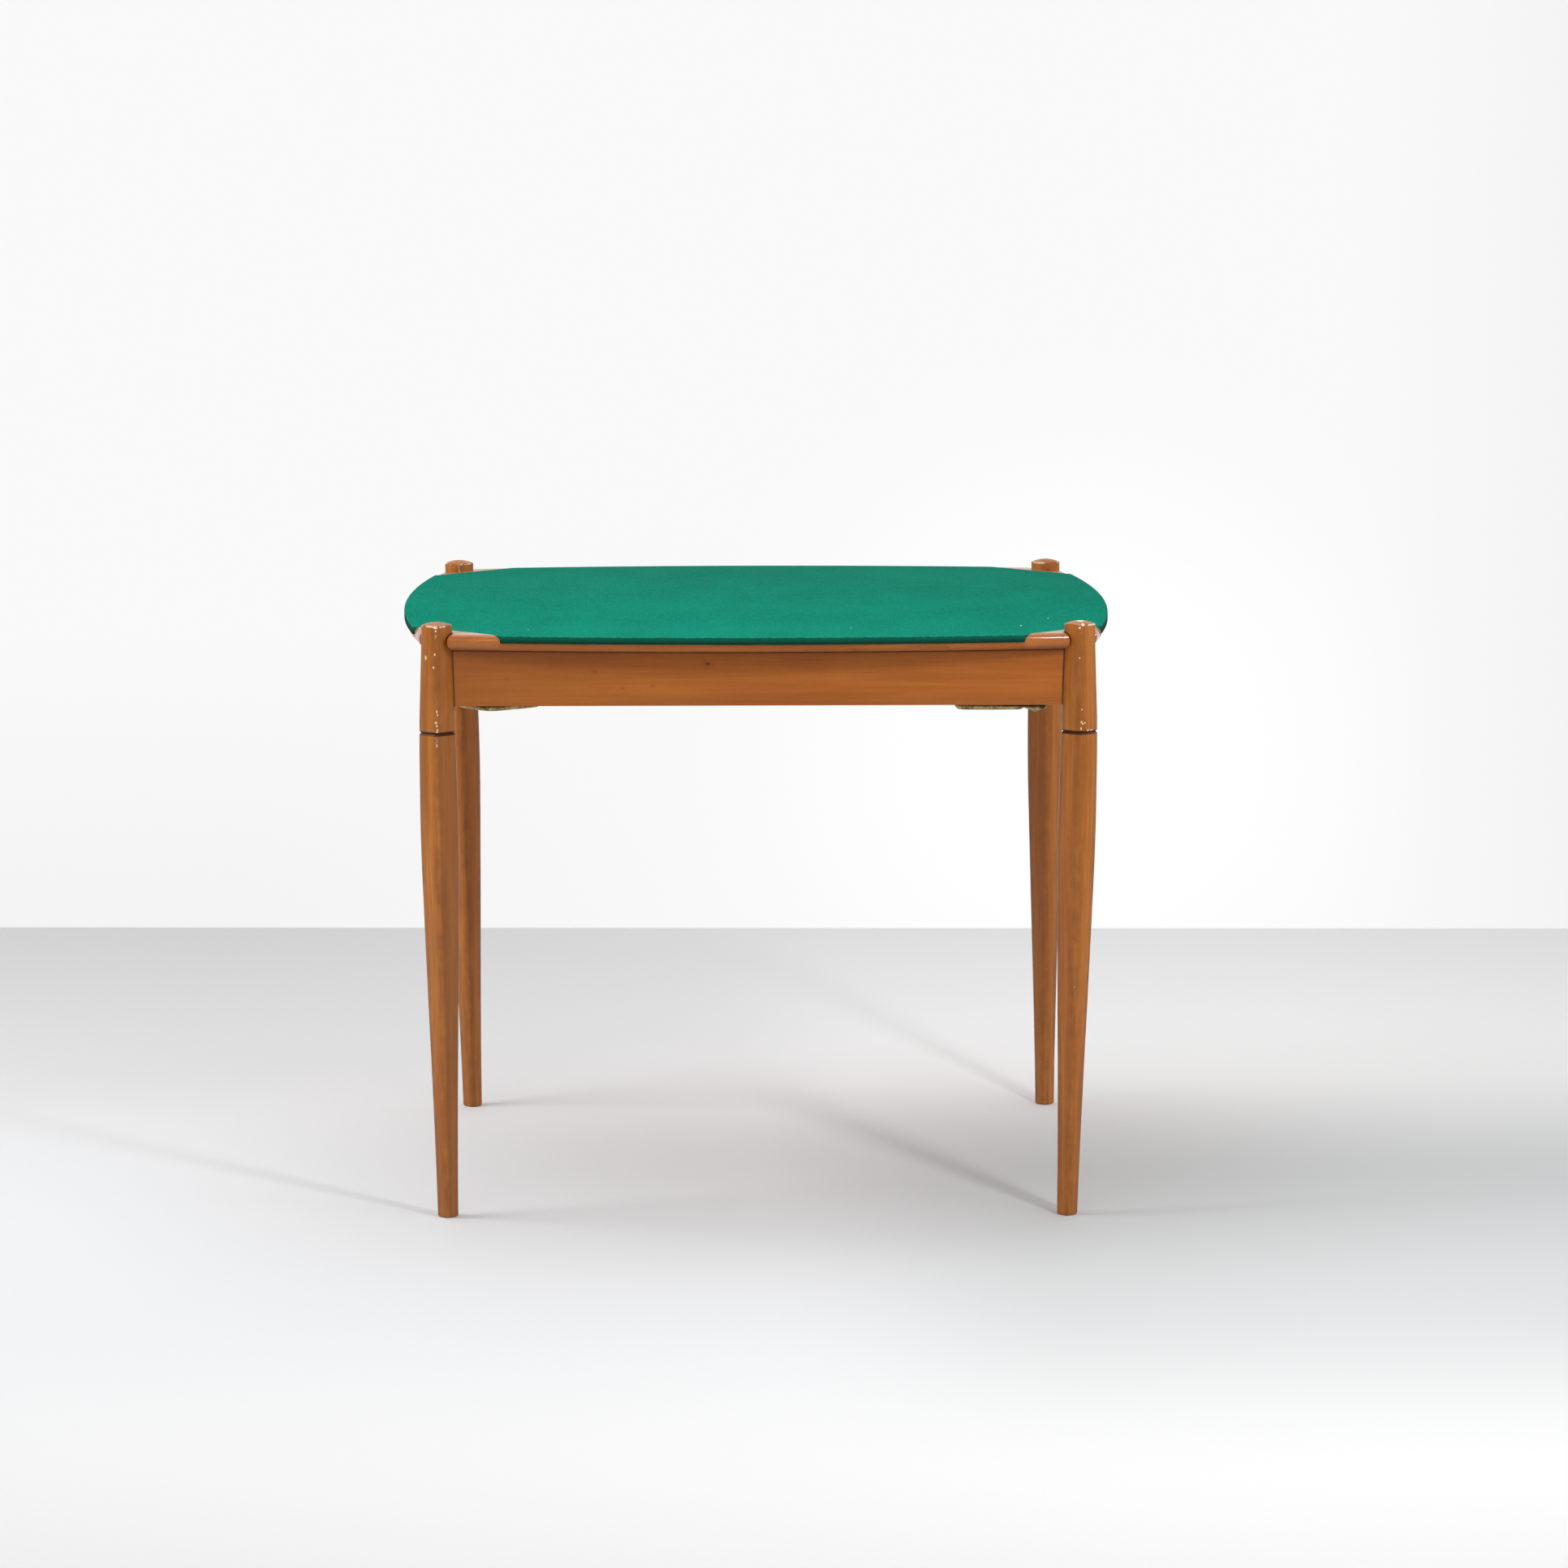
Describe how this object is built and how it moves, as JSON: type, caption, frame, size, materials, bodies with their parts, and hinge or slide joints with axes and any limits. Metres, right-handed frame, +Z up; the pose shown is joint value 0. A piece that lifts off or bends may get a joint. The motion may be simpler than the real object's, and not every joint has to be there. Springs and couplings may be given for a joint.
{
  "type": "games table",
  "caption": "Square games table with a bowed, reversible felt and wood top clasping domed leg heads, tapered legs that unscrew and brass trays that swing out from under the aprons.",
  "frame": {"origin": "on the floor under the middle of the table", "axes": "+Z up, -Y towards the side seen in the picture, +X to its right"},
  "size_m": [0.921, 0.921, 0.762],
  "materials": {
    "polished_wood": "satin polish over orange-brown cherry",
    "plain_wood": "unpolished inner wood",
    "felt": "short-napped green wool felt",
    "brass": "aged, dulled brass",
    "steel": "plain steel"
  },
  "bodies": {
    "frame": {"leg_block_front_right": "polished_wood", "leg_block_back_right": "polished_wood", "leg_block_back_left": "polished_wood", "leg_block_front_left": "polished_wood", "corner_brace_front_right": "plain_wood", "corner_brace_back_right": "plain_wood", "corner_brace_back_left": "plain_wood", "corner_brace_front_left": "plain_wood", "apron_front": "polished_wood", "apron_right": "polished_wood", "apron_back": "polished_wood", "apron_left": "polished_wood", "leg_inserts": "steel", "lag_screws": "steel", "brace_screws": "steel", "tray_pivot_screws": "brass", "tray_washers": "brass"},
    "top": {"playing_felt": "felt", "top_core": "plain_wood", "reverse_face": "polished_wood", "top_corner_front_right": "polished_wood", "top_corner_back_right": "polished_wood", "top_corner_back_left": "polished_wood", "top_corner_front_left": "polished_wood", "edge_strip_front": "polished_wood", "edge_strip_right": "polished_wood", "edge_strip_back": "polished_wood", "edge_strip_left": "polished_wood"},
    "leg_front_right": {"lower_leg_front_right": "polished_wood", "leg_stud_front_right": "steel"},
    "leg_back_right": {"lower_leg_back_right": "polished_wood", "leg_stud_back_right": "steel"},
    "leg_back_left": {"lower_leg_back_left": "polished_wood", "leg_stud_back_left": "steel"},
    "leg_front_left": {"lower_leg_front_left": "polished_wood", "leg_stud_front_left": "steel"},
    "tray_front_right": {"tray_front_right": "brass"},
    "tray_back_right": {"tray_back_right": "brass"},
    "tray_back_left": {"tray_back_left": "brass"},
    "tray_front_left": {"tray_front_left": "brass"}
  },
  "joints": [
    {"name": "top_lift", "type": "slide", "parent": "frame", "child": "top", "axis": [0, 0, 1], "range_m": [0, 0.045]},
    {"name": "leg_unscrew_front_right", "type": "slide", "parent": "frame", "child": "leg_front_right", "axis": [0, 0, -1], "range_m": [0, 0.035]},
    {"name": "leg_unscrew_back_right", "type": "slide", "parent": "frame", "child": "leg_back_right", "axis": [0, 0, -1], "range_m": [0, 0.035]},
    {"name": "leg_unscrew_back_left", "type": "slide", "parent": "frame", "child": "leg_back_left", "axis": [0, 0, -1], "range_m": [0, 0.035]},
    {"name": "leg_unscrew_front_left", "type": "slide", "parent": "frame", "child": "leg_front_left", "axis": [0, 0, -1], "range_m": [0, 0.035]},
    {"name": "tray_swing_front_right", "type": "hinge", "parent": "frame", "child": "tray_front_right", "pos_m": [0.349, -0.398, 0.6525], "axis": [0, 0, 1], "range_deg": [-60, 105]},
    {"name": "tray_swing_back_right", "type": "hinge", "parent": "frame", "child": "tray_back_right", "pos_m": [0.398, 0.349, 0.6525], "axis": [0, 0, 1], "range_deg": [-63, 102]},
    {"name": "tray_swing_back_left", "type": "hinge", "parent": "frame", "child": "tray_back_left", "pos_m": [-0.349, 0.398, 0.6525], "axis": [0, 0, 1], "range_deg": [-56, 109]},
    {"name": "tray_swing_front_left", "type": "hinge", "parent": "frame", "child": "tray_front_left", "pos_m": [-0.398, -0.349, 0.6525], "axis": [0, 0, 1], "range_deg": [-8, 157]}
  ]
}
